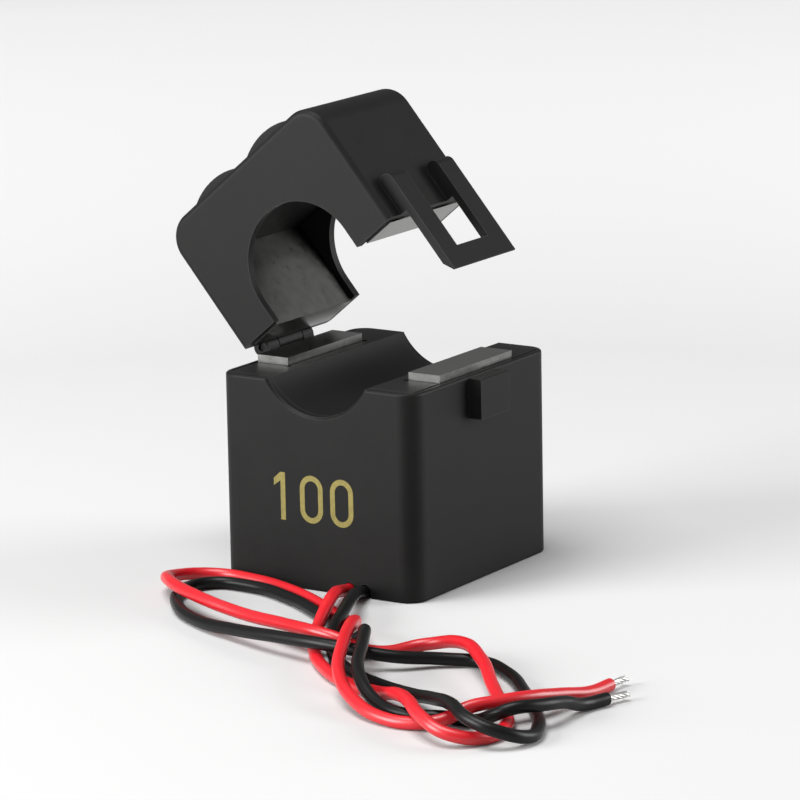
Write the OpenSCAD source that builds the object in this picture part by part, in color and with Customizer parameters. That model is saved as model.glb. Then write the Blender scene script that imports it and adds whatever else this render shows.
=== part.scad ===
// Split-core current transformer: a potted base with the winding and the lower core half,
// and a hinged lid that latches over a catch, with the upper core half, shown open. Millimetres.
// X runs from hinge to latch, Y along the conductor, Z up from the foot.

/* [Conductor bore] */
// Radius of the round passage for the conductor
bore_r = 8; // [6:0.5:9]
// Height of the bore axis above the case rim
bore_rise = 3.9; // [3.4:0.1:5]

/* [Base case] */
// Height of the case rim above the foot
case_h = 25.6; // [25:0.2:32]
// Radius of the upright corners
case_corner_r = 2.4; // [1.5:0.1:3]
// Radius of the rim and foot edges
case_edge_r = 0.35; // [0.2:0.05:0.6]
// Thickness of the front and rear walls
end_wall = 1.2; // [0.8:0.1:1.6]
// Thickness of the side walls
side_wall = 0.8; // [0.6:0.1:1]
// Chamfer round the outer ends of the bore
bore_chamfer = 0.3; // [0.1:0.05:0.5]

/* [Deck] */
// Thickness of the deck and of the trough under the conductor
deck_t = 1.1; // [0.8:0.1:1.4]
// Width of the seam between deck and side wall
seam_gap = 0.4; // [0.15:0.05:0.4]
// Thickness left in the side wall beside the seam
seam_lip = 0.6; // [0.5:0.05:0.7]
// Wall left whole at both ends of the seam
seam_end = 1.75; // [1.5:0.05:4]
// Gap between the core poles and their deck windows
window_gap = 0.3; // [0.1:0.05:0.5]

/* [Core] */
// Width of each core leg
leg_w = 4.4; // [3:0.1:5]
// Depth of the lamination stack
stack_d = 16.5; // [12:0.5:18]
// Clearance between the bore and the legs
leg_clear = 0.7; // [0.6:0.05:2]
// Clearance between the legs and the case's side walls
core_fit = 0.1; // [0.05:0.05:0.3]
// Height of the yoke in both halves
yoke_h = 4; // [3:0.1:4.6]
// Height of the lower poles above the case rim
pole_rise = 0.95; // [0.6:0.05:1.4]
// Clearance between the trough and the bobbin below it
trough_gap = 0.45; // [0.2:0.05:1]
// Clearance between the bore and the keeper plate above it
keeper_gap = 0.62; // [0.2:0.02:1]
// Thickness of the keeper plate under the upper yoke
keeper_t = 0.4; // [0.3:0.05:0.8]
// Outer corner radius of both halves
core_corner_r = 2.4; // [1:0.1:3]
// Inner corner radius of both halves
core_bend_r = 0.3; // [0.1:0.1:1]
// Air gap between the poles of the closed halves
pole_gap = 0.07; // [0.05:0.01:0.2]

/* [Winding] */
// Thickness of the bobbin walls
bobbin_wall = 0.8; // [0.5:0.1:1]
// Gap between yoke and bobbin
bobbin_gap = 0.15; // [0.1:0.05:0.3]
// Radial build of the winding
winding_build = 3.9; // [2:0.1:4.2]
// Thickness of the tape round the winding
tape_t = 0.3; // [0.1:0.05:0.4]
// Rim of the bobbin flanges above the tape
flange_rim = 0.4; // [0.2:0.1:0.8]
// Space between the bobbin flanges and the end walls
end_space = 0.8; // [0.1:0.05:2]

/* [Foot] */
// Thickness of the bottom plate
plate_t = 1.2; // [0.8:0.1:1.5]
// Clearance round parts that drop into the case
fit_gap = 0.1; // [0.05:0.05:0.2]

/* [Lid] */
// Clearance of the upper core in the lid
lid_fit = 0.15; // [0.1:0.05:0.4]
// Room for the spring between the upper core and the roof
spring_room = 0.88; // [0.6:0.02:1.5]
// Radius of the two roof corners
lid_corner_r = 3.6; // [2:0.1:4]
// Radius of the front and rear edges
lid_edge_r = 0.8; // [0.3:0.1:1]
// Thickness of the front and rear walls
lid_end_wall = 1.1; // [0.8:0.05:1.2]
// Thickness of the lid's side walls
lid_side_wall = 0.9; // [0.7:0.05:1]
// Thickness of the roof
roof_t = 1; // [0.8:0.1:1.4]
// Height of the poles proud of the lid rim
pole_proud = 0.18; // [0:0.02:0.4]
// Width of each finger pad on the roof
pad_w = 8.6; // [6:0.2:9]
// Height of the finger pads
pad_h = 1.1; // [0.6:0.1:1.6]
// Distance between the two finger pads
pad_space = 1.4; // [1:0.1:3]
// Distance of the pads from the lid's front and rear faces
pad_inset = 1.6; // [0.8:0.1:3]

/* [Hinge] */
// Angle at which the lid stands open
open_angle = 40; // [0:1:80]
// Distance of the hinge axis outside the case wall
hinge_out = 0.8; // [0.6:0.05:1.2]
// Radius of the knuckles
knuckle_r = 1.15; // [1:0.05:1.3]
// Radius of the hinge pin
pin_r = 0.5; // [0.4:0.05:0.7]
// Radial running clearance of the pin in the lid knuckle
pin_gap = 0.05; // [0.02:0.01:0.1]
// Radial fit of the pin in the base ears
pin_fit = 0.02; // [0.01:0.01:0.04]
// Depth of the pin ends inside the outer knuckles
pin_recess = 0.3; // [0:0.1:0.6]
// Whole width of the hinge
hinge_w = 9.8; // [8:0.2:14]
// Width of the lid's middle knuckle
middle_w = 5; // [4:0.2:7]
// Clearance round and between the knuckles
knuckle_gap = 0.2; // [0.15:0.05:0.3]

/* [Latch] */
// Width of the latch across both arms
latch_w = 13.8; // [11:0.2:15]
// Width of the latch window
latch_window_w = 7; // [5:0.2:8]
// Distance of the latch's outer face from the lid wall
latch_out = 1.9; // [1.6:0.1:2.2]
// Thickness of the latch below the rim
latch_t = 1; // [0.8:0.1:1.2]
// Reach of the latch below the lid rim
latch_drop = 9.3; // [8:0.1:10]
// Height of the bar under the latch window
latch_bar_h = 2.8; // [2:0.1:3.2]
// Height of the straight part of the ribs above the rim
rib_h = 4.2; // [2:0.1:6]
// Play of the catch in the latch window
catch_play = 0.35; // [0.2:0.05:0.5]
// Distance of the catch's face from the case wall
catch_out = 1.75; // [1.2:0.05:1.8]
// Height of the catch
catch_h = 4.95; // [3:0.05:5]

/* [Leads] */
// Outside diameter of the insulated leads
lead_d = 1.5; // [1.2:0.1:1.6]
// Diameter of the tinned conductor
strand_d = 0.8; // [0.5:0.05:0.9]
// Bare length at the free ends
strip_len = 3; // [2:0.5:6]
// Distance between the two leads where they leave the case
lead_pitch = 2.2; // [2:0.1:3]
// Distance of the two lead slots from the middle of the front wall
exit_x = 5.5; // [0:0.5:7]
// Clearance round each lead in its slot
slot_gap = 0.1; // [0.05:0.05:0.2]

/* [Hidden] */
$fn = 64;
far = 100;
eps = 0.01;

bore_z = case_h + bore_rise;
pole_z = case_h + pole_rise;
upper_pole_z = pole_z + pole_gap;
rim_z = upper_pole_z + pole_proud;

leg_in = bore_r + leg_clear;
leg_out = leg_in + leg_w;
flange_x = leg_in - fit_gap;
spool_y = stack_d / 2 + bobbin_gap;
spool_z = yoke_h / 2 + bobbin_gap;
wound_y = spool_y + bobbin_wall + winding_build;
wound_z = spool_z + bobbin_wall + winding_build;
flange_y = wound_y + tape_t + fit_gap;
flange_z = wound_z + tape_t + flange_rim;
coil_x = flange_x - bobbin_wall - fit_gap;

yoke_mid = bore_z - bore_r - deck_t - trough_gap - flange_z;
yoke_top = yoke_mid + yoke_h / 2;
yoke_bottom = yoke_mid - yoke_h / 2;
lower_window_h = pole_z - yoke_top;
ceiling_z = bore_z + bore_r + keeper_gap + keeper_t + fit_gap;
upper_window_h = ceiling_z - upper_pole_z;

inner_x = leg_out + core_fit;
inner_y = flange_y + end_space;
case_w = 2 * (inner_x + side_wall);
case_d = 2 * (inner_y + end_wall);
seam_x = case_w / 2 - seam_lip;
seam_len = case_d - 2 * seam_end;
deck_x = seam_x - seam_gap;
deck_y = inner_y - fit_gap / 2;
deck_under = case_h - deck_t;
hinge_x = -case_w / 2 - hinge_out;
hinge_z = pole_z + pole_gap / 2;

resin_bottom = plate_t + fit_gap;
resin_top = yoke_mid - flange_z - fit_gap;
exit_z = 0.85;
plate_slot_len = 4.2;
sleeve_len = 4;
sleeve_past = 1.2;
bay_w = 2 * lead_pitch + 0.6;
bay_past = 0.5;
sleeve_wall = 0.22;
sleeve_gap = 0.05;

lid_in_x = leg_out + lid_fit;
lid_in_y = stack_d / 2 + lid_fit;
lid_x = lid_in_x + lid_side_wall;
lid_w = 2 * lid_x;
lid_d = 2 * (lid_in_y + lid_end_wall);
cavity_z = ceiling_z + yoke_h + spring_room;
roof_z = cavity_z + roof_t;
lid_h = roof_z - rim_z;
latch_x = lid_x + latch_out;
tip_z = rim_z - latch_drop;
bar_top = tip_z + latch_bar_h;
catch_bottom = bar_top + fit_gap;
spring_t = 0.2;
spring_w = 8;
spring_span = 16;
spring_rise = spring_room - 2 * fit_gap - spring_t;

// Centre lines of the two leads, from the solder sleeve in the case to the stripped end
red_route = [
    [4.4, -6, 2.9], [4.4, -9.5, 2.9], [4.4, -13.6, 0.85], [4.4, -15.9, 0.85], [5.1, -18.6, 1.4],
    [7.5, -23.5, 2.5], [10.5, -30, 2.5], [12.5, -35, 1.1], [16, -40.5, 0.8], [20.5, -45.5, 0.8],
    [26, -49.5, 0.8], [32, -51.8, 1], [36, -54.2, 2], [40, -58, 2.7], [44, -61.8, 2.5],
    [48, -63, 1.5], [51, -60.5, 0.8], [50.8, -55.5, 0.8], [47.5, -50.5, 0.8], [43, -45.5, 1.8],
    [37.5, -39, 2.5], [31.5, -34, 2.4], [26.5, -33.3, 1.3], [22.5, -37.5, 0.9], [17.5, -39.5, 2.6],
    [10, -37.5, 2.5], [2, -34.5, 2], [-6, -32, 2.4], [-13.2, -27.8, 2.5], [-16.8, -21.5, 1.3],
    [-14.5, -17.2, 0.8], [-8, -17.2, 0.8], [-1, -19.5, 0.8], [6, -23.5, 0.8], [12, -27.7, 0.8],
    [14.3, -29.9, 1.2], [16.2, -32.2, 2.4], [19.7, -38.5, 4], [23, -45, 4], [27.3, -52.5, 2.7],
    [32.5, -57.2, 1.4], [37.5, -59.4, 0.8], [41.5, -59.4, 0.8], [44.3, -58, 1.2],
    [46.4, -55.9, 2.4], [48.5, -53.4, 2.7], [50.3, -50, 2.6], [51.4, -45, 1.8], [52.3, -40, 0.9],
    [52.5, -36, 0.8]];
black_route = [
    [6.6, -6, 2.9], [6.6, -9.5, 2.9], [6.6, -13.6, 0.85], [6.6, -15.9, 0.85], [7.5, -18.6, 1.5],
    [10.5, -24.5, 2.5], [13.5, -31, 2.6], [15, -35, 1.9], [17.3, -38.8, 0.8], [20.5, -42.5, 0.8],
    [25, -46, 0.8], [30, -48.5, 0.8], [36, -51.2, 1.2], [41, -54.6, 2.3], [46, -58.8, 3.4],
    [50, -61.6, 3], [53.6, -61.2, 2], [55.2, -58, 0.9], [54, -54, 0.8], [51, -49.5, 0.8],
    [46, -43.5, 0.8], [40, -37.5, 0.8], [35, -35, 0.8], [31, -36.6, 1], [26.5, -40.7, 1.7],
    [20, -42.6, 2.5], [12, -41.5, 2.2], [4, -39, 1.4], [-3.5, -36, 0.8], [-9.5, -31.5, 0.8],
    [-13, -25.5, 0.8], [-12.3, -21, 0.8], [-7, -19.9, 0.8], [0, -22.1, 0.8], [6.5, -26, 0.8],
    [12.9, -30.8, 0.8], [15.2, -33, 0.8], [17.6, -34.8, 1], [19.6, -36.2, 2.1], [21.8, -38.8, 3.7],
    [25.5, -45, 4], [30, -52.5, 2.8], [34.8, -55.9, 1.1], [39, -57, 0.8], [43.5, -55.7, 0.8],
    [46.8, -55.4, 0.8], [49.2, -56, 1.8], [51.5, -55.2, 2.8], [53.3, -52.3, 2.7], [53.8, -48, 2],
    [54, -44.5, 0.9], [55, -41, 0.8]];

// ---------- shared shapes ----------

// Rectangle with round corners, as plain squares and circles
module soft_rect(w, d, r) {
    square([w - 2 * r, d], center = true);
    square([w, d - 2 * r], center = true);
    for (x = [-1, 1], y = [-1, 1])
        translate([x * (w / 2 - r), y * (d / 2 - r)]) circle(r);
}

// Upright profile of half width w with its top and bottom outer edges rounded to e
module edge_half(w, h, e) {
    translate([0, e]) square([w, h - 2 * e]);
    square([w - e, h]);
    for (z = [e, h - e]) translate([w - e, z]) circle(e);
}

// Block standing on z = 0 with upright corners of radius r and top and bottom edges of radius e
module soft_block(w, d, h, r, e) {
    for (turn = [0, 1]) rotate([0, 0, 90 * turn])
        rotate([90, 0, 0]) linear_extrude((turn ? w : d) - 2 * r, center = true)
            for (side = [0, 1]) mirror([side, 0]) edge_half((turn ? d : w) / 2, h, e);
    for (x = [-1, 1], y = [-1, 1])
        translate([x * (w / 2 - r), y * (d / 2 - r), 0])
            rotate_extrude() edge_half(r, h, e);
}

// Profile in the XZ plane, extruded along the conductor and centred on it
module along(len) {
    rotate([90, 0, 0]) linear_extrude(len, center = true) children();
}

// Round bar along the conductor through the point x, z
module bar(x, z, r, len) {
    translate([x, 0, z]) rotate([90, 0, 0]) cylinder(r = r, h = len, center = true);
}

// Conductor passage with a chamfer at both ends
module passage(r, len) {
    bar(0, bore_z, r, far);
    for (y = [-1, 1]) scale([1, y, 1]) translate([0, -len / 2 - eps, bore_z]) rotate([-90, 0, 0])
        cylinder(r1 = r + bore_chamfer, r2 = r, h = bore_chamfer + eps);
}

// U-shaped core half standing on its yoke, legs up
module core_half(window_h) {
    total = window_h + yoke_h;
    along(stack_d) difference() {
        translate([0, total / 2]) union() {
            translate([0, core_corner_r / 2])
                square([2 * leg_out, total - core_corner_r], center = true);
            square([2 * (leg_out - core_corner_r), total], center = true);
            for (x = [-1, 1]) translate([x * (leg_out - core_corner_r), core_corner_r - total / 2])
                circle(core_corner_r);
        }
        translate([-leg_in, yoke_h + core_bend_r]) square([2 * leg_in, total]);
        translate([-leg_in + core_bend_r, yoke_h]) square([2 * (leg_in - core_bend_r), total]);
        for (x = [-1, 1]) translate([x * (leg_in - core_bend_r), yoke_h + core_bend_r])
            circle(core_bend_r);
    }
}

// Everything on the lid, turned from the closed to the open position
module opened() {
    translate([hinge_x, 0, hinge_z]) rotate([0, -open_angle, 0])
        translate([-hinge_x, 0, -hinge_z]) children();
}

// ---------- base ----------

module base_case() {
    color([0.13, 0.13, 0.13]) {
        difference() {
            soft_block(case_w, case_d, case_h, case_corner_r, case_edge_r);
            translate([0, 0, case_h / 2]) cube([2 * inner_x, 2 * inner_y, far], center = true);
            translate([0, 0, case_h - deck_t + far / 2])
                cube([2 * seam_x, seam_len, far], center = true);
            passage(bore_r, case_d);
            lead_slots(case_d / 2, end_wall + 1, exit_z);
            bar(hinge_x, hinge_z, knuckle_r + knuckle_gap, middle_w + 2 * knuckle_gap);
        }
        catch();
        for (y = [-1, 1]) translate([0, y * (hinge_w + middle_w + 2 * knuckle_gap) / 4, 0])
            base_knuckle((hinge_w - middle_w - 2 * knuckle_gap) / 2);
    }
}

// Two round-topped slots, open to the foot, that run inwards from y = -start
module lead_slots(start, depth, arc_z) {
    r = lead_d / 2 + slot_gap;
    for (side = [-1, 1]) translate([exit_x + side * lead_pitch / 2, depth - start, arc_z])
        rotate([90, 0, 0]) {
            cylinder(r = r, h = depth + 1);
            translate([-r, -far, 0]) cube([2 * r, far, depth + 1]);
        }
}

module base_knuckle(w) {
    drop = 3;
    along(w) difference() {
        union() {
            translate([hinge_x, hinge_z]) circle(knuckle_r);
            polygon([[hinge_x - knuckle_r, hinge_z], [-case_w / 2, hinge_z - drop],
                [-seam_x - eps, hinge_z - drop], [-seam_x - eps, case_h], [hinge_x + knuckle_r, hinge_z]]);
        }
        translate([hinge_x, hinge_z]) circle(pin_r + pin_fit);
    }
}

module catch() {
    x = case_w / 2;
    z = catch_bottom;
    lead_in = 0.2;
    along(latch_window_w - 2 * catch_play)
        polygon([[x - 0.3, z], [x + catch_out, z], [x + catch_out, z + catch_h - lead_in],
            [x + catch_out - lead_in, z + catch_h], [x - 0.3, z + catch_h]]);
}

module bottom_plate() {
    color([0.11, 0.11, 0.11]) difference() {
        linear_extrude(plate_t) soft_rect(2 * (inner_x - fit_gap), 2 * (inner_y - fit_gap), 0.5);
        lead_slots(inner_y, plate_slot_len, plate_t);
    }
}

module potting_resin() {
    bay_end = red_route[0][1] + sleeve_past + bay_past;
    color([0.06, 0.06, 0.07]) difference() {
        translate([0, 0, (resin_bottom + resin_top) / 2])
            cube([2 * (inner_x - fit_gap), 2 * (inner_y - fit_gap), resin_top - resin_bottom],
                center = true);
        translate([exit_x - bay_w / 2, bay_end - far, 0]) cube([bay_w, far, far]);
    }
}

module bore_deck() {
    color([0.14, 0.14, 0.14]) difference() {
        union() {
            translate([0, 0, (case_h + deck_under) / 2])
                cube([2 * deck_x, 2 * deck_y, deck_t], center = true);
            bar(0, bore_z, bore_r + deck_t, 2 * deck_y);
        }
        bar(0, bore_z, bore_r, far);
        translate([0, 0, case_h + far / 2]) cube(far, center = true);
        for (x = [-1, 1]) pole_window(x);
    }
}

module pole_window(side) {
    inner = leg_in - window_gap;
    half_d = stack_d / 2 + window_gap;
    translate([side > 0 ? inner : -far, -half_d, 0]) cube([far - inner, 2 * half_d, far]);
    for (y = [-1, 1]) translate([side * (inner + 0.1), y * (half_d - 0.1), 0])
        cylinder(r = window_gap + 0.1, h = far);
}

module lower_core() {
    color([0.62, 0.62, 0.6]) translate([0, 0, yoke_bottom]) core_half(lower_window_h);
}

// One half of the two-part bobbin that clips round the yoke
module bobbin_half(side) {
    join_gap = 0.05;
    difference() {
        translate([0, 0, yoke_mid]) union() {
            cube([2 * flange_x, 2 * (spool_y + bobbin_wall), 2 * (spool_z + bobbin_wall)],
                center = true);
            for (x = [-1, 1]) translate([x * (flange_x - bobbin_wall / 2), 0, 0])
                cube([bobbin_wall, 2 * flange_y, 2 * flange_z], center = true);
        }
        translate([0, 0, yoke_mid]) cube([far, 2 * spool_y, 2 * spool_z], center = true);
        translate([0, side * (far / 2 - join_gap), 0]) cube([far, far, far], center = true);
    }
}

module bobbin_front() { color([0.85, 0.83, 0.76]) bobbin_half(1); }

module bobbin_rear() { color([0.85, 0.83, 0.76]) bobbin_half(-1); }

// Ring round the bobbin between an inner and an outer build
module coil_ring(inner, outer) {
    wound_corner = 2.5;
    translate([0, 0, yoke_mid]) rotate([90, 0, 90]) linear_extrude(2 * coil_x, center = true)
        difference() {
            soft_rect(2 * (spool_y + bobbin_wall + outer), 2 * (spool_z + bobbin_wall + outer),
                wound_corner);
            if (inner > 1)
                soft_rect(2 * (spool_y + bobbin_wall + inner),
                    2 * (spool_z + bobbin_wall + inner), wound_corner);
            else
                square([2 * (spool_y + bobbin_wall + inner), 2 * (spool_z + bobbin_wall + inner)],
                    center = true);
        }
}

module winding() { color([0.72, 0.4, 0.2]) coil_ring(0.02, winding_build - 0.02); }

module winding_tape() { color([0.85, 0.7, 0.2]) coil_ring(winding_build, winding_build + tape_t); }

module hinge_pin() {
    color([0.2, 0.2, 0.2]) bar(hinge_x, hinge_z, pin_r, hinge_w - 2 * pin_recess);
}

// ---------- leads ----------

function unit(v) = v / norm(v);
function route_dir(p, i) = unit(p[min(i + 1, len(p) - 1)] - p[max(i - 1, 0)]);
function side_dir(d) = unit(cross([0, 0, 1], d));
function ring(p, i, r, sides) = let (d = route_dir(p, i), u = side_dir(d), v = cross(d, u))
    [for (k = [0 : sides - 1]) p[i] + r * (cos((k + 0.5) * 360 / sides) * u
        + sin((k + 0.5) * 360 / sides) * v)];

// Tube of eight flats swept along the points of a route
module swept(p, r) {
    sides = 8;
    n = len(p);
    points = [for (i = [0 : n - 1]) each ring(p, i, r, sides)];
    walls = [for (i = [0 : n - 2], k = [0 : sides - 1]) let (a = i * sides, b = (k + 1) % sides)
        [a + k, a + sides + k, a + sides + b, a + b]];
    ends = [[for (k = [0 : sides - 1]) k], [for (k = [sides - 1 : -1 : 0]) (n - 1) * sides + k]];
    polyhedron(points, concat(walls, ends), convexity = 10);
}

// Sleeve over the solder joint, pushed over the first millimetres of a route
module sleeve(p) {
    bore = lead_d + 2 * sleeve_gap;
    translate([p[0][0], p[0][1] + sleeve_past, p[0][2]]) rotate([90, 0, 0]) difference() {
        cylinder(d = bore + 2 * sleeve_wall, h = sleeve_len);
        translate([0, 0, -1]) cylinder(d = bore, h = sleeve_len + 2);
    }
}

// Tinned strands carrying on from the last point of a route
module lead_end(p) {
    n = len(p) - 1;
    d = unit(p[n] - p[n - 1]);
    translate(p[n] + eps * d) rotate([0, acos(d[2]), atan2(d[1], d[0])])
        cylinder(d = strand_d, h = strip_len, $fn = 24);
}

module red_lead() { color([0.85, 0.1, 0.1]) swept(red_route, lead_d / 2); }

module black_lead() { color([0.08, 0.08, 0.08]) swept(black_route, lead_d / 2); }

module red_sleeve() { color([0.15, 0.15, 0.15]) sleeve(red_route); }

module black_sleeve() { color([0.15, 0.15, 0.15]) sleeve(black_route); }

module red_lead_end() { color([0.8, 0.8, 0.8]) lead_end(red_route); }

module black_lead_end() { color([0.8, 0.8, 0.8]) lead_end(black_route); }

// ---------- lid ----------

module lid_case() {
    color([0.13, 0.13, 0.13]) opened() {
        difference() {
            union() {
                lid_block();
                finger_pads();
            }
            lid_cavity();
            translate([0, 0, bore_z]) rotate([90, 0, 0]) cylinder(r = bore_r, h = far, center = true);
            translate([-bore_r, -far / 2, -far + bore_z]) cube([2 * bore_r, far, far]);
            for (y = [-1, 1]) translate([0, y * (hinge_w / 2 + middle_w / 2 + knuckle_gap) / 2, 0])
                bar(hinge_x, hinge_z, knuckle_r + knuckle_gap, (hinge_w - middle_w) / 2 + knuckle_gap);
        }
        lid_knuckle();
        latch();
    }
}

module lid_block() {
    difference() {
        translate([0, lid_d / 2, roof_z - lid_h]) rotate([90, 0, 0])
            soft_block(lid_w, 2 * lid_h, lid_d, lid_corner_r, lid_edge_r);
        translate([0, 0, rim_z - far / 2]) cube(far, center = true);
    }
}

module lid_cavity() {
    r = lid_corner_r - lid_side_wall;
    along(2 * lid_in_y) {
        translate([0, cavity_z - far / 2 - r]) square([2 * lid_in_x, far], center = true);
        translate([0, cavity_z - far / 2]) square([2 * (lid_in_x - r), far], center = true);
        for (x = [-1, 1]) translate([x * (lid_in_x - r), cavity_z - r]) circle(r);
    }
}

// Two low arched pads that give the fingers a hold
module finger_pads() {
    r = (pad_w * pad_w / 4 + pad_h * pad_h) / (2 * pad_h);
    for (x = [-1, 1]) translate([x * (pad_space + pad_w) / 2, 0, 0])
        along(lid_d - 2 * pad_inset) intersection() {
            translate([0, roof_z + pad_h - r]) circle(r, $fn = 128);
            translate([-pad_w / 2, roof_z - roof_t / 2]) square([pad_w, pad_h + roof_t]);
        }
}

module lid_knuckle() {
    rise = 2.6;
    along(middle_w) difference() {
        union() {
            translate([hinge_x, hinge_z]) circle(knuckle_r);
            polygon([[hinge_x - knuckle_r, hinge_z], [-lid_x, hinge_z + rise],
                [-lid_in_x - eps, hinge_z + rise], [-lid_in_x - eps, rim_z],
                [hinge_x + knuckle_r, hinge_z]]);
        }
        translate([hinge_x, hinge_z]) circle(pin_r + pin_gap);
    }
}

// Two ribs on the lid wall that carry the latch arms, and the bar that passes under the catch
module latch() {
    arm_w = (latch_w - latch_window_w) / 2;
    lead_in = 1.4;
    tip_t = 0.2;
    for (y = [-1, 1]) translate([0, y * (latch_window_w + arm_w) / 2, 0]) along(arm_w) {
        translate([lid_x - eps, rim_z]) square([latch_out + eps, rib_h]);
        translate([lid_x + latch_out / 2, rim_z + rib_h]) circle(latch_out / 2);
        translate([latch_x - latch_t, bar_top]) square([latch_t, rim_z - bar_top + eps]);
    }
    along(latch_w) polygon([[latch_x - latch_t, bar_top], [latch_x, bar_top], [latch_x, tip_z],
        [latch_x - tip_t, tip_z], [latch_x - latch_t, tip_z + lead_in]]);
}

module upper_core() {
    color([0.62, 0.62, 0.6]) opened()
        translate([0, 0, ceiling_z + yoke_h]) mirror([0, 0, 1]) core_half(upper_window_h);
}

// Flat plate between the legs that keeps the upper core in the lid
module core_keeper() {
    color([0.1, 0.1, 0.1]) opened() translate([0, 0, ceiling_z - fit_gap - keeper_t / 2])
        cube([2 * (leg_in - fit_gap), stack_d, keeper_t], center = true);
}

// Bowed leaf that presses the upper core down against the lower one
module core_spring() {
    r = (spring_span * spring_span / 4 + spring_rise * spring_rise) / (2 * spring_rise);
    z = cavity_z - fit_gap - r;
    color([0.75, 0.75, 0.72]) opened() along(spring_w) intersection() {
        difference() {
            translate([0, z]) circle(r, $fn = 256);
            translate([0, z]) circle(r - spring_t, $fn = 256);
        }
        translate([-spring_span / 2, z + r - 2]) square([spring_span, 3]);
    }
}

base_case();
bottom_plate();
potting_resin();
bore_deck();
lower_core();
bobbin_front();
bobbin_rear();
winding();
winding_tape();
red_sleeve();
black_sleeve();
red_lead();
black_lead();
red_lead_end();
black_lead_end();
hinge_pin();
lid_case();
upper_core();
core_keeper();
core_spring();
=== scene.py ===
# Split-core current transformer with its lid open, on a pale table
import bpy
import bmesh
import math
from mathutils import Matrix, Vector


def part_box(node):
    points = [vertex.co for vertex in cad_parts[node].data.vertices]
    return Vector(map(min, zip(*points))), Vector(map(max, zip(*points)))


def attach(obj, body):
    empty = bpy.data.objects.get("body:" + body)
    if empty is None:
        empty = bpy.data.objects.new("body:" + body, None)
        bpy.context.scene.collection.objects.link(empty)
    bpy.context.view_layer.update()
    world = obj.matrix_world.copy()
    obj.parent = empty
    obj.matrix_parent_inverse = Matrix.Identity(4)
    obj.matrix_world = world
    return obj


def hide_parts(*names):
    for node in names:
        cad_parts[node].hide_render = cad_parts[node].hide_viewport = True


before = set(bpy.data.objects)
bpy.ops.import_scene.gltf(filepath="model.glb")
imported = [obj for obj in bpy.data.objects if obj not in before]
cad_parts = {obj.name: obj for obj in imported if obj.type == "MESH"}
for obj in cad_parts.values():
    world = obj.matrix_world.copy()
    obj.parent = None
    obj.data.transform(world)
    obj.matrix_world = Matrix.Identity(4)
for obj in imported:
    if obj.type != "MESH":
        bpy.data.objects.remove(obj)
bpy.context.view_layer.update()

mm = 0.001
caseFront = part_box("base_case")[0].y

cameraView = {
    "aim": (2.68, -0.9, 21.04),     # mm
    "azimuth": 32.88,
    "elevation": 12.6,
    "roll": -1.06,
    "distance": 586.8,              # mm
    "lens": 216.9,
    "sensor": 36,
    "clip": (0.01, 20),             # m
}


def makeCamera(view):
    around, above = math.radians(view["azimuth"]), math.radians(view["elevation"])
    flat = math.cos(above)
    back = Vector((math.sin(around) * flat, -math.cos(around) * flat, math.sin(above)))
    data = bpy.data.cameras.new("camera")
    data.lens = view["lens"]
    data.sensor_width = view["sensor"]
    data.clip_start, data.clip_end = view["clip"]
    camera = bpy.data.objects.new("camera", data)
    bpy.context.collection.objects.link(camera)
    camera.location = Vector(view["aim"]) * mm + back * view["distance"] * mm
    turn = (-back).to_track_quat("-Z", "Y").to_matrix()
    roll = Matrix.Rotation(math.radians(view["roll"]), 3, "Z")
    camera.rotation_mode = "QUATERNION"
    camera.rotation_quaternion = (turn @ roll).to_quaternion()
    bpy.context.scene.camera = camera


makeCamera(cameraView)
print("camera placed")


def newMaterial(name, color, roughness, metallic=0.0):
    material = bpy.data.materials.new(name)
    material.use_nodes = True
    shader = material.node_tree.nodes["Principled BSDF"]
    shader.inputs["Base Color"].default_value = (*color, 1)
    shader.inputs["Roughness"].default_value = roughness
    shader.inputs["Metallic"].default_value = metallic
    return material, material.node_tree, shader


def addNoise(tree, scale, detail=4, roughness=0.6, stretch=(1, 1, 1)):
    place = tree.nodes.new("ShaderNodeTexCoord")
    size = tree.nodes.new("ShaderNodeMapping")
    size.inputs["Scale"].default_value = stretch
    noise = tree.nodes.new("ShaderNodeTexNoise")
    noise.inputs["Scale"].default_value = scale
    noise.inputs["Detail"].default_value = detail
    noise.inputs["Roughness"].default_value = roughness
    tree.links.new(place.outputs["Object"], size.inputs["Vector"])
    tree.links.new(size.outputs["Vector"], noise.inputs["Vector"])
    return noise.outputs["Fac"]


def addRamp(tree, source, stops):
    ramp = tree.nodes.new("ShaderNodeValToRGB")
    while len(ramp.color_ramp.elements) < len(stops):
        ramp.color_ramp.elements.new(0.5)
    for element, (place, color) in zip(ramp.color_ramp.elements, stops):
        element.position = place
        element.color = (*color, 1)
    tree.links.new(source, ramp.inputs["Fac"])
    return ramp.outputs["Color"]


def addRange(tree, source, low, high):
    change = tree.nodes.new("ShaderNodeMapRange")
    change.inputs["To Min"].default_value = low
    change.inputs["To Max"].default_value = high
    tree.links.new(source, change.inputs["Value"])
    return change.outputs["Result"]


def addBump(tree, source, strength, depth, under=None):
    bump = tree.nodes.new("ShaderNodeBump")
    bump.inputs["Strength"].default_value = strength
    bump.inputs["Distance"].default_value = depth
    tree.links.new(source, bump.inputs["Height"])
    if under is not None:
        tree.links.new(under, bump.inputs["Normal"])
    return bump.outputs["Normal"]


def mixColor(tree, share, under, over):
    mix = tree.nodes.new("ShaderNodeMix")
    mix.data_type = "RGBA"
    for socket, value in ((mix.inputs[0], share), (mix.inputs[6], under)):
        tree.links.new(value, socket)
    mix.inputs[7].default_value = (*over, 1)
    return mix.outputs[2]


def wear(piece, material):
    piece.data.materials.clear()
    piece.data.materials.append(material)


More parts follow.
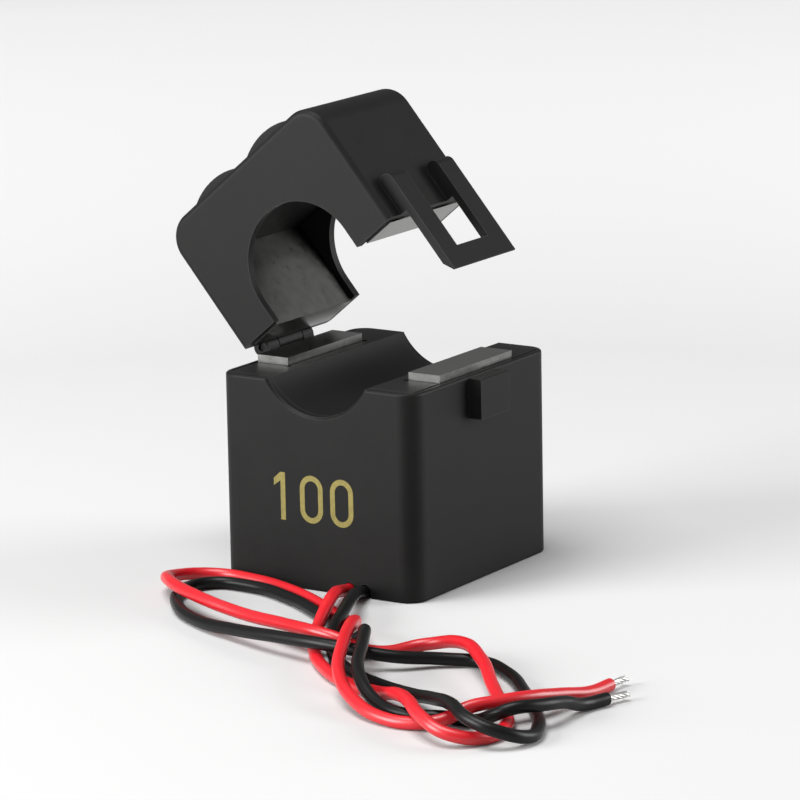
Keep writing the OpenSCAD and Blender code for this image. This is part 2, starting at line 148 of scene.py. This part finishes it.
housingFinish = {
    "color": (0.0066, 0.0066, 0.0065),
    "mottled": (0.0085, 0.0085, 0.0083),
    "edgeHighlight": (0.036, 0.036, 0.035),  # painted highlight: sharp edges lighter, standing in for the light caught by roundings too small to model
    "edgeRadius": 0.16,             # mm
    "edgeSamples": 6,
    "edgeTurn": (0.985, 0.88),      # cosine of the turn at which an edge starts and is full
    "roughness": (0.46, 0.54),
    "specular": 0.125,
    "grain": 5200,                  # spark-eroded mould texture
    "grainStrength": 0.35,
    "grainDepth": 0.00003,
    "mottle": 160,
}


def addEdges(tree, finish):
    # 1 on sharp edges, 0 on faces and wide roundings; it places the painted highlight on edges
    soft = tree.nodes.new("ShaderNodeBevel")
    soft.samples = finish["edgeSamples"]
    soft.inputs["Radius"].default_value = finish["edgeRadius"] * mm
    flat = tree.nodes.new("ShaderNodeNewGeometry")
    turned = tree.nodes.new("ShaderNodeVectorMath")
    turned.operation = "DOT_PRODUCT"
    tree.links.new(soft.outputs["Normal"], turned.inputs[0])
    tree.links.new(flat.outputs["Normal"], turned.inputs[1])
    edgeHighlight = tree.nodes.new("ShaderNodeMapRange")
    edgeHighlight.inputs["From Min"].default_value = finish["edgeTurn"][0]
    edgeHighlight.inputs["From Max"].default_value = finish["edgeTurn"][1]
    tree.links.new(turned.outputs["Value"], edgeHighlight.inputs["Value"])
    return edgeHighlight.outputs["Result"]


def makeHousing(finish):
    material, tree, shader = newMaterial("blackHousing", finish["color"], 0.5)
    shader.inputs["Specular IOR Level"].default_value = finish["specular"]
    mottle = addNoise(tree, finish["mottle"])
    skin = addRamp(tree, mottle, [(0.35, finish["color"]), (0.75, finish["mottled"])])
    # painted highlight: a lighter colour is mixed in along sharp edges
    tree.links.new(mixColor(tree, addEdges(tree, finish), skin, finish["edgeHighlight"]),
                   shader.inputs["Base Color"])
    tree.links.new(addRange(tree, mottle, *finish["roughness"]), shader.inputs["Roughness"])
    grain = addNoise(tree, finish["grain"], 3, 0.7)
    tree.links.new(addBump(tree, grain, finish["grainStrength"], finish["grainDepth"]),
                   shader.inputs["Normal"])
    return material


coreFinish = {
    "color": (0.19, 0.19, 0.183),
    "dark": (0.15, 0.15, 0.145),
    "metallic": 1.0,
    "roughness": (0.24, 0.34),
    "sheet": 0.35,                  # mm, thickness of one lamination
    "sheetBump": 0.1,
    "stain": 900,
    "grit": 3000,
    "gritBump": 0.06,
    "bumpDepth": 0.00002,
}


def addMath(tree, operation, source, value):
    step = tree.nodes.new("ShaderNodeMath")
    step.operation = operation
    step.inputs[1].default_value = value
    tree.links.new(source, step.inputs[0])
    return step.outputs["Value"]


def makeCore(name, finish):
    material, tree, shader = newMaterial(name, finish["color"], 0.3, finish["metallic"])
    place = tree.nodes.new("ShaderNodeTexCoord")
    split = tree.nodes.new("ShaderNodeSeparateXYZ")
    tree.links.new(place.outputs["Object"], split.inputs["Vector"])
    pitch = addMath(tree, "MULTIPLY", split.outputs["Y"], 2 * math.pi / (finish["sheet"] * mm))
    wave = addMath(tree, "SINE", pitch, 0)
    stain = addNoise(tree, finish["stain"], 5, 0.6)
    steel = addRamp(tree, stain, [(0.3, finish["dark"]), (0.7, finish["color"])])
    tree.links.new(steel, shader.inputs["Base Color"])
    tree.links.new(addRange(tree, stain, *finish["roughness"]), shader.inputs["Roughness"])
    sheets = addBump(tree, wave, finish["sheetBump"], finish["bumpDepth"])
    grit = addNoise(tree, finish["grit"], 3, 0.7)
    tree.links.new(addBump(tree, grit, finish["gritBump"], finish["bumpDepth"], sheets),
                   shader.inputs["Normal"])
    return material


pvcFinish = {
    "red": (0.56, 0.006, 0.014),
    "redDeep": (0.46, 0.004, 0.01),
    "black": (0.004, 0.004, 0.0042),
    "blackDeep": (0.006, 0.006, 0.0062),
    "roughness": (0.3, 0.42),
    "redSpecular": 0.6,
    "blackSpecular": 0.18,
    "drift": 90,
    "skin": 1400,
    "skinBump": 0.15,
    "skinDepth": 0.00003,
}


def makeInsulation(name, color, deep, finish, specular):
    material, tree, shader = newMaterial(name, color, 0.35)
    shader.inputs["Specular IOR Level"].default_value = specular
    drift = addNoise(tree, finish["drift"], 3)
    tree.links.new(addRamp(tree, drift, [(0.3, deep), (0.7, color)]), shader.inputs["Base Color"])
    tree.links.new(addRange(tree, drift, *finish["roughness"]), shader.inputs["Roughness"])
    skin = addNoise(tree, finish["skin"], 2)
    tree.links.new(addBump(tree, skin, finish["skinBump"], finish["skinDepth"]),
                   shader.inputs["Normal"])
    return material


def makeMetal(name, color, roughness, scale):
    material, tree, shader = newMaterial(name, color, roughness, 1.0)
    streak = addNoise(tree, scale, 4, 0.6, (1, 0.1, 1))
    darker = tuple(0.7 * part for part in color)
    tree.links.new(addRamp(tree, streak, [(0.3, darker), (0.7, color)]), shader.inputs["Base Color"])
    tree.links.new(addRange(tree, streak, roughness - 0.08, roughness + 0.1),
                   shader.inputs["Roughness"])
    tree.links.new(addBump(tree, streak, 0.15, 0.00002), shader.inputs["Normal"])
    return material


def makePlastic(name, color, roughness, scale, depth, specular=0.5):
    material, tree, shader = newMaterial(name, color, roughness)
    shader.inputs["Specular IOR Level"].default_value = specular
    cloud = addNoise(tree, scale, 4)
    darker = tuple(0.75 * part for part in color)
    tree.links.new(addRamp(tree, cloud, [(0.3, darker), (0.7, color)]), shader.inputs["Base Color"])
    tree.links.new(addRange(tree, cloud, roughness - 0.05, roughness + 0.08),
                   shader.inputs["Roughness"])
    tree.links.new(addBump(tree, cloud, 0.3, depth), shader.inputs["Normal"])
    return material


def makeWound(name, color, step):
    # step in mm; the bands repeat every 2 pi steps
    material, tree, shader = newMaterial(name, color, 0.35, 0.7)
    wires = tree.nodes.new("ShaderNodeTexWave")
    waveTurn = 20                   # radians the wave node turns per unit of scale
    wires.inputs["Scale"].default_value = 1 / (step * mm) / waveTurn
    wires.inputs["Distortion"].default_value = 0.4
    place = tree.nodes.new("ShaderNodeTexCoord")
    tree.links.new(place.outputs["Object"], wires.inputs["Vector"])
    darker = tuple(0.5 * part for part in color)
    tree.links.new(addRamp(tree, wires.outputs["Fac"], [(0.1, darker), (0.6, color)]),
                   shader.inputs["Base Color"])
    tree.links.new(addBump(tree, wires.outputs["Fac"], 0.5, 0.00008), shader.inputs["Normal"])
    return material


housing = makeHousing(housingFinish)
coreSteel = makeCore("coreSteel", coreFinish)
redPvc = makeInsulation("redInsulation", pvcFinish["red"], pvcFinish["redDeep"], pvcFinish,
                        pvcFinish["redSpecular"])
blackPvc = makeInsulation("blackInsulation", pvcFinish["black"], pvcFinish["blackDeep"], pvcFinish,
                          pvcFinish["blackSpecular"])
tinned = makeMetal("tinnedCopper", color=(0.75, 0.75, 0.73), roughness=0.35, scale=900)
# painted shade: the pin's steel is made nearly black for the shade inside the hinge
hingePinPaintedShade = makeMetal("hingePinPaintedShade", color=(0.012, 0.012, 0.012), roughness=0.4, scale=1200)
springSteel = makeMetal("springSteel", color=(0.45, 0.46, 0.47), roughness=0.32, scale=800)
# painted shade: the keeper's black is darker and duller than the housing's, for the shade under the
# yoke
keeperPaintedShade = makePlastic("keeperPaintedShade", color=(0.004, 0.004, 0.004), roughness=0.6, scale=700,
                          depth=0.00002, specular=0.05)
castResin = makePlastic("castResin", color=(0.012, 0.012, 0.013), roughness=0.25, scale=300,
                        depth=0.00005)
nylon = makePlastic("naturalNylon", color=(0.62, 0.59, 0.5), roughness=0.5, scale=500, depth=0.00003)
shrinkTube = makePlastic("shrinkTube", color=(0.02, 0.02, 0.02), roughness=0.5, scale=900,
                         depth=0.00003)
filmTape = makePlastic("filmTape", color=(0.6, 0.42, 0.04), roughness=0.3, scale=260, depth=0.00003)
enamelled = makeWound("enamelledCopper", color=(0.5, 0.16, 0.05), step=0.3)
print("materials made")


nodeFinish = {
    "base_case": housing, "bore_deck": housing, "bottom_plate": housing, "lid_case": housing,
    "lower_core": coreSteel, "upper_core": coreSteel, "potting_resin": castResin,
    "bobbin_front": nylon, "bobbin_rear": nylon, "winding": enamelled, "winding_tape": filmTape,
    "red_sleeve": shrinkTube, "black_sleeve": shrinkTube, "hinge_pin": hingePinPaintedShade,
    "core_keeper": keeperPaintedShade, "core_spring": springSteel,
}
for name, finish in nodeFinish.items():
    wear(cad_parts[name], finish)


redLead = {
    "name": "redLead", "body": "base", "finish": redPvc, "slot": "red_insulation",
    "diameter": 1.5, "node": "red_lead", "endNode": "red_lead_end",
    "route": [                      # mm, from the sleeve in the case to the stripped end
        (4.4, -6, 2.9), (4.4, -9.5, 2.9), (4.4, -13.6, 0.85), (4.4, -15.9, 0.85), (5.1, -18.6, 1.4),
        (7.5, -23.5, 2.5), (10.5, -30, 2.5), (12.5, -35, 1.1), (16, -40.5, 0.8),
        (20.5, -45.5, 0.8), (26, -49.5, 0.8),
        (32, -51.8, 1), (36, -54.2, 2), (40, -58, 2.7), (44, -61.8, 2.5), (48, -63, 1.5),
        (51, -60.5, 0.8), (50.8, -55.5, 0.8), (47.5, -50.5, 0.8), (43, -45.5, 1.8), (37.5, -39, 2.5),
        (31.5, -34, 2.4), (26.5, -33.3, 1.3), (22.5, -37.5, 0.9), (17.5, -39.5, 2.6), (10, -37.5, 2.5),
        (2, -34.5, 2), (-6, -32, 2.4), (-13.2, -27.8, 2.5), (-16.8, -21.5, 1.3), (-14.5, -17.2, 0.8),
        (-8, -17.2, 0.8), (-1, -19.5, 0.8), (6, -23.5, 0.8), (12, -27.7, 0.8), (14.3, -29.9, 1.2),
        (16.2, -32.2, 2.4), (19.7, -38.5, 4), (23, -45, 4), (27.3, -52.5, 2.7), (32.5, -57.2, 1.4),
        (37.5, -59.4, 0.8), (41.5, -59.4, 0.8), (44.3, -58, 1.2), (46.4, -55.9, 2.4),
        (48.5, -53.4, 2.7),
        (50.3, -50, 2.6), (51.4, -45, 1.8), (52.3, -40, 0.9), (52.5, -36, 0.8),
    ],
}

blackLead = {
    "name": "blackLead", "body": "base", "finish": blackPvc, "slot": "black_insulation",
    "diameter": 1.5, "node": "black_lead", "endNode": "black_lead_end",
    "route": [
        (6.6, -6, 2.9), (6.6, -9.5, 2.9), (6.6, -13.6, 0.85), (6.6, -15.9, 0.85), (7.5, -18.6, 1.5),
        (10.5, -24.5, 2.5), (13.5, -31, 2.6), (15, -35, 1.9), (17.3, -38.8, 0.8),
        (20.5, -42.5, 0.8), (25, -46, 0.8),
        (30, -48.5, 0.8), (36, -51.2, 1.2), (41, -54.6, 2.3), (46, -58.8, 3.4), (50, -61.6, 3),
        (53.6, -61.2, 2), (55.2, -58, 0.9), (54, -54, 0.8), (51, -49.5, 0.8), (46, -43.5, 0.8),
        (40, -37.5, 0.8), (35, -35, 0.8), (31, -36.6, 1), (26.5, -40.7, 1.7), (20, -42.6, 2.5),
        (12, -41.5, 2.2), (4, -39, 1.4), (-3.5, -36, 0.8), (-9.5, -31.5, 0.8), (-13, -25.5, 0.8),
        (-12.3, -21, 0.8), (-7, -19.9, 0.8), (0, -22.1, 0.8), (6.5, -26, 0.8), (12.9, -30.8, 0.8),
        (15.2, -33, 0.8), (17.6, -34.8, 1), (19.6, -36.2, 2.1), (21.8, -38.8, 3.7), (25.5, -45, 4),
        (30, -52.5, 2.8), (34.8, -55.9, 1.1), (39, -57, 0.8), (43.5, -55.7, 0.8), (46.8, -55.4, 0.8),
        (49.2, -56, 1.8), (51.5, -55.2, 2.8), (53.3, -52.3, 2.7), (53.8, -48, 2), (54, -44.5, 0.9),
        (55, -41, 0.8),
    ],
}

strandBundle = {
    "strands": 7, "radius": 0.13, "layRadius": 0.24, "length": 3.0, "turns": 0.7, "splay": 0.1,
    "sides": 10, "steps": 16,
}


def makeLead(lead):
    data = bpy.data.curves.new(lead["name"], "CURVE")
    data.dimensions = "3D"
    data.resolution_u = 8
    data.bevel_depth = lead["diameter"] / 2 * mm
    data.bevel_resolution = 5
    data.use_fill_caps = True
    spline = data.splines.new("BEZIER")
    spline.bezier_points.add(len(lead["route"]) - 1)
    for knot, place in zip(spline.bezier_points, lead["route"]):
        knot.co = Vector(place) * mm
        knot.handle_left_type = knot.handle_right_type = "AUTO"
    cord = bpy.data.objects.new(lead["name"], data)
    bpy.context.collection.objects.link(cord)
    data.materials.append(lead["finish"])
    return cord


def makeStrands(lead, bundle):
    last, before = Vector(lead["route"][-1]), Vector(lead["route"][-2])
    along = (last - before).normalized()
    turn = along.to_track_quat("Z", "Y").to_matrix().to_4x4()
    shape = bmesh.new()
    sides, steps = bundle["sides"], bundle["steps"]
    for strand in range(bundle["strands"]):
        centre = strand == 0
        start = 2 * math.pi * strand / (bundle["strands"] - 1)
        rings = []
        for step in range(steps + 1):
            share = step / steps
            angle = start + 2 * math.pi * bundle["turns"] * share
            spread = 0 if centre else bundle["layRadius"] + bundle["splay"] * share ** 3 * (strand % 3)
            middle = Vector((spread * math.cos(angle), spread * math.sin(angle),
                             bundle["length"] * share))
            rings.append([shape.verts.new(middle + bundle["radius"] * Vector(
                (math.cos(2 * math.pi * k / sides), math.sin(2 * math.pi * k / sides), 0)))
                for k in range(sides)])
        for one, two in zip(rings, rings[1:]):
            for k in range(sides):
                shape.faces.new((one[k], one[(k + 1) % sides], two[(k + 1) % sides], two[k]))
        shape.faces.new(list(reversed(rings[0])))
        shape.faces.new(rings[-1])
    mesh = bpy.data.meshes.new(lead["name"] + "Strands")
    shape.to_mesh(mesh)
    shape.free()
    for face in mesh.polygons:
        face.use_smooth = True
    mesh.transform(Matrix.Scale(mm, 4))
    strands = bpy.data.objects.new(lead["name"] + "Strands", mesh)
    bpy.context.collection.objects.link(strands)
    strands.matrix_world = Matrix.Translation(last * mm) @ turn
    wear(strands, tinned)
    return strands


for lead in (redLead, blackLead):
    cord = makeLead(lead)
    strands = makeStrands(lead, strandBundle)
    for piece, slotName, node in ((cord, lead["slot"], lead["node"]),
                                  (strands, "tinned_copper", lead["endNode"])):
        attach(piece, lead["body"])
        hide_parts(node)
print("leads laid")


numberPrint = {
    "text": "100", "height": 5.9, "width": 3.3, "pitch": 4.35, "stroke": 0.68,
    "lift": 0.02,                   # mm, in front of the case
    "middle": (-0.8, 11.3),         # mm, x and z on the front face
    "color": (0.2, 0.165, 0.035),
    "zeroSteps": 48, "zeroEnd": 1.05,
    "flagOut": 0.95, "flagTop": 0.85, "flagLow": 1.75, "flagRoot": 1.05, "barMiddle": 0.25,
}


def strokeShape(shape, points, width, closed):
    # flat ribbon of constant width along a line of points
    count = len(points)
    edges = []
    for k, point in enumerate(points):
        before = points[k - 1] if (closed or k > 0) else point
        after = points[(k + 1) % count] if (closed or k < count - 1) else point
        along = (after - before).normalized()
        side = Vector((-along.y, along.x)) * width / 2
        edges.append((shape.verts.new((*(point + side), 0)),
                      shape.verts.new((*(point - side), 0))))
    for k in range(count if closed else count - 1):
        a, b = edges[k], edges[(k + 1) % count]
        shape.faces.new((a[0], a[1], b[1], b[0]))


def zeroLine(printed):
    # upright ring with straight sides and elliptical ends
    w, h = (printed["width"] - printed["stroke"]) / 2, (printed["height"] - printed["stroke"]) / 2
    straight = h - w * printed["zeroEnd"]
    points = []
    for k in range(printed["zeroSteps"]):
        angle = 2 * math.pi * k / printed["zeroSteps"]
        lift = straight if math.sin(angle) > 0 else -straight
        points.append(Vector((w * math.cos(angle), lift + w * printed["zeroEnd"] * math.sin(angle))))
    return points


def oneOutline(printed):
    # upright bar with a short flag falling to the left from its top
    right = printed["barMiddle"] + printed["stroke"] / 2
    left = printed["barMiddle"] - printed["stroke"] / 2
    top, tip = printed["height"] / 2, left - printed["flagOut"]
    return [(left, -top), (right, -top), (right, top), (left, top), (tip, top - printed["flagTop"]),
            (tip, top - printed["flagLow"]), (left, top - printed["flagRoot"])]


def makeNumber(printed):
    shape = bmesh.new()
    text = printed["text"]
    for place, digit in enumerate(text):
        left = (place - (len(text) - 1) / 2) * printed["pitch"]
        start = len(shape.verts)
        if digit == "0":
            strokeShape(shape, zeroLine(printed), printed["stroke"], True)
        else:
            shape.faces.new([shape.verts.new((x, z, 0)) for x, z in oneOutline(printed)])
        shape.verts.ensure_lookup_table()
        bmesh.ops.translate(shape, verts=shape.verts[start:], vec=(left, 0, 0))
    upright = Matrix.Rotation(math.pi / 2, 3, "X")
    bmesh.ops.rotate(shape, verts=shape.verts, cent=(0, 0, 0), matrix=upright)
    mesh = bpy.data.meshes.new("ratedCurrentPrint")
    bmesh.ops.scale(shape, verts=shape.verts, vec=(mm, mm, mm))
    shape.to_mesh(mesh)
    shape.free()
    number = bpy.data.objects.new("ratedCurrentPrint", mesh)
    bpy.context.collection.objects.link(number)
    x, z = printed["middle"]
    number.location = (x * mm, caseFront - printed["lift"] * mm, z * mm)
    ink, tree, shader = newMaterial("goldInk", printed["color"], 0.45, 0.25)
    cover = addNoise(tree, 1500, 4, 0.7)
    thin = tuple(0.72 * part for part in printed["color"])
    tree.links.new(addRamp(tree, cover, [(0.3, thin), (0.6, printed["color"])]),
                   shader.inputs["Base Color"])
    tree.links.new(addBump(tree, cover, 0.2, 0.00002), shader.inputs["Normal"])
    wear(number, ink)
    return number


number = makeNumber(numberPrint)
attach(number, "base")
print("number printed")


studio = {
    # painted shade: the table is greyer round the object and near white further off
    "floorNear": (0.5, 0.5, 0.5),
    "floorFar": (0.95, 0.95, 0.95),
    "floorFade": (0.13, 0.5),       # m from the middle
    "floorSize": 8,                 # m
    "world": 0.25,
    "aim": (0, 0, 22),              # mm, where the lights point
    "lights": [                     # place and aim in mm, size in mm, power in W
        {"name": "keyPanel", "place": (-330, -510, 200), "size": 360, "power": 6.2},
        {"name": "sidePanel", "place": (480, 360, 210), "size": 360, "power": 3.7},
        {"name": "topPanel", "place": (-100, -180, 720), "size": 420, "power": 5.8},
    ],
}


def makeStudio(setup):
    bpy.ops.mesh.primitive_plane_add(size=setup["floorSize"], location=(0, 0, 0))
    floor = bpy.context.object
    floor.name = "table"
    material, tree, shader = newMaterial("tablePaper", setup["floorNear"], 0.9)
    shader.inputs["Specular IOR Level"].default_value = 0.1
    place = tree.nodes.new("ShaderNodeTexCoord")
    reach = tree.nodes.new("ShaderNodeVectorMath")
    reach.operation = "LENGTH"
    tree.links.new(place.outputs["Object"], reach.inputs[0])
    # painted shade: darker near the middle, fading to near white
    fade = tree.nodes.new("ShaderNodeMapRange")
    fade.inputs["From Min"].default_value = setup["floorFade"][0]
    fade.inputs["From Max"].default_value = setup["floorFade"][1]
    tree.links.new(reach.outputs["Value"], fade.inputs["Value"])
    stops = [(0, setup["floorNear"]), (1, setup["floorFar"])]
    tree.links.new(addRamp(tree, fade.outputs["Result"], stops), shader.inputs["Base Color"])
    wear(floor, material)
    world = bpy.data.worlds.new("room")
    bpy.context.scene.world = world
    world.use_nodes = True
    sky = world.node_tree.nodes["Background"]
    sky.inputs["Color"].default_value = (1, 1, 1, 1)
    sky.inputs["Strength"].default_value = setup["world"]
    for light in setup["lights"]:
        data = bpy.data.lights.new(light["name"], "AREA")
        data.size = light["size"] * mm
        data.energy = light["power"]
        lamp = bpy.data.objects.new(light["name"], data)
        bpy.context.collection.objects.link(lamp)
        lamp.location = Vector(light["place"]) * mm
        toObject = Vector(setup["aim"]) * mm - lamp.location
        lamp.rotation_euler = toObject.to_track_quat("-Z", "Y").to_euler()


makeStudio(studio)
bpy.context.scene.view_settings.view_transform = "Standard"
print("studio set")
